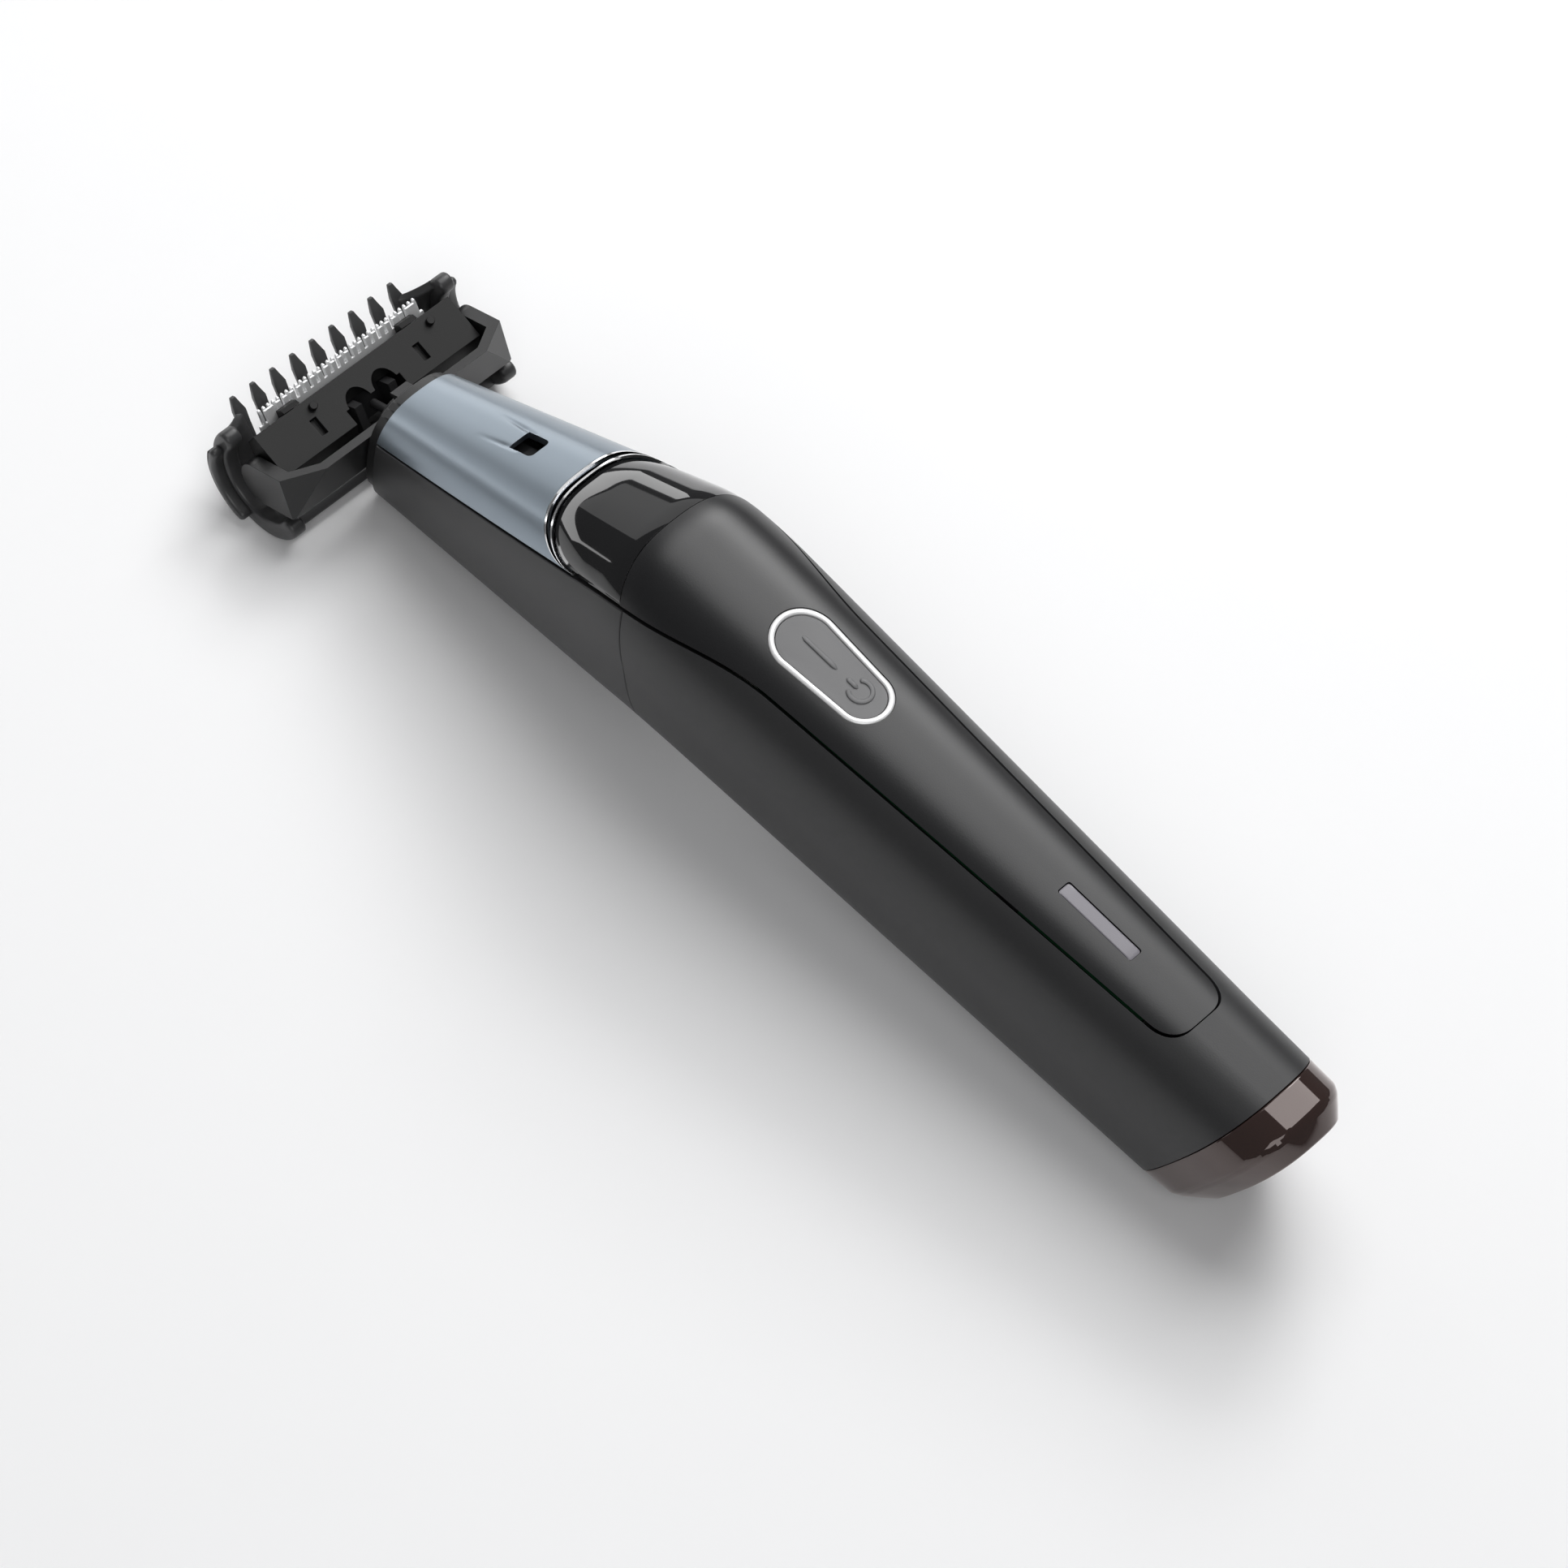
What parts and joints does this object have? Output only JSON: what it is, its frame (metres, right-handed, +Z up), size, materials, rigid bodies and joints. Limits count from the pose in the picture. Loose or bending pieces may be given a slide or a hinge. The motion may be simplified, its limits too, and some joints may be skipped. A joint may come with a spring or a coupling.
{
  "type": "body groomer",
  "caption": "Cordless body groomer with a bent handle, a push button, a charge light and a rocking toothed blade head behind a pull-off comb",
  "frame": {"origin": "on the table under the middle of the groomer's length and width", "axes": "+Y from the base cap to the comb, +Z up from the table through the button side, +X to the right seen from the base cap"},
  "size_m": [0.04, 0.1648, 0.0359],
  "materials": {
    "shell_black": "soft-touch, very fine grain",
    "fascia_black": "matte, very fine grain",
    "gloss_black": "polished",
    "chrome_trim": "polished",
    "cover_blue_grey": "satin metallic lacquer",
    "smoke_bronze": "smoky translucent gloss",
    "button_grey": "satin",
    "ring_silver": "satin plated",
    "seal_black": "silicone",
    "light_grey": "milky translucent",
    "board_green": "solder mask",
    "component_black": "moulded",
    "tin": "tinned",
    "steel": "ground",
    "blade_steel": "ground and polished",
    "cell_wrap": "shrink sleeve",
    "white_plastic": "natural acetal",
    "core_black": "moulded",
    "bronze": "sintered",
    "head_black": "satin",
    "comb_grey": "semi-gloss",
    "lead_red": "insulated"
  },
  "bodies": {
    "handle": {"back_shell": "shell_black", "front_fascia": "fascia_black", "gloss_collar": "gloss_black", "chrome_trim_front": "chrome_trim", "chrome_trim_rear": "chrome_trim", "neck_cover": "cover_blue_grey", "neck_shell": "shell_black", "neck_ring": "head_black", "base_cap": "smoke_bronze", "charge_socket": "core_black", "socket_contacts": "tin", "button_ring": "ring_silver", "button_seal": "seal_black", "led_window": "light_grey", "circuit_board": "board_green", "board_components": "component_black", "tact_switch": "tin", "led_chip": "white_plastic", "board_screws": "steel", "battery_cell": "cell_wrap", "battery_tabs": "tin", "chassis": "white_plastic", "motor_can": "steel", "motor_endcap": "component_black", "motor_leads": "lead_red", "neck_core": "core_black", "core_screws": "steel", "shaft_bush": "bronze"},
    "button": {"power_button": "button_grey"},
    "rotor": {"drive_shaft": "steel", "eccentric_cam": "core_black"},
    "head": {"head_yoke": "head_black", "latch_tongue": "core_black", "pivot_pins": "steel"},
    "cartridge": {"blade_carrier": "head_black", "fixed_blade": "blade_steel", "spring_clips": "head_black"},
    "cutter": {"cutter_blade": "blade_steel", "drive_fork": "core_black"},
    "comb": {"comb_guard": "comb_grey"}
  },
  "joints": [
    {"name": "button_press", "type": "slide", "parent": "handle", "child": "button", "axis": [0, 0.1353, -0.9908], "range_m": [0, 0.0006], "stiffness_N_per_m": 500},
    {"name": "motor_spin", "type": "hinge", "parent": "handle", "child": "rotor", "pos_m": [0, 0.07185, 0.0078], "axis": [0, 0.9421, -0.3355], "continuous": true},
    {"name": "head_pull", "type": "slide", "parent": "handle", "child": "head", "axis": [0, 0.9421, -0.3355], "range_m": [0, 0.03]},
    {"name": "head_rock", "type": "hinge", "parent": "head", "child": "cartridge", "pos_m": [0, 0.07185, 0.0078], "axis": [1, 0, 0], "range_deg": [-8, 8], "stiffness_Nm_per_rad": 0.05},
    {"name": "cutter_slide", "type": "slide", "parent": "cartridge", "child": "cutter", "axis": [1, 0, 0], "range_m": [-0.0007, 0.0007]},
    {"name": "comb_pull", "type": "slide", "parent": "cartridge", "child": "comb", "axis": [0, 0.9421, -0.3355], "range_m": [0, 0.02]}
  ]
}
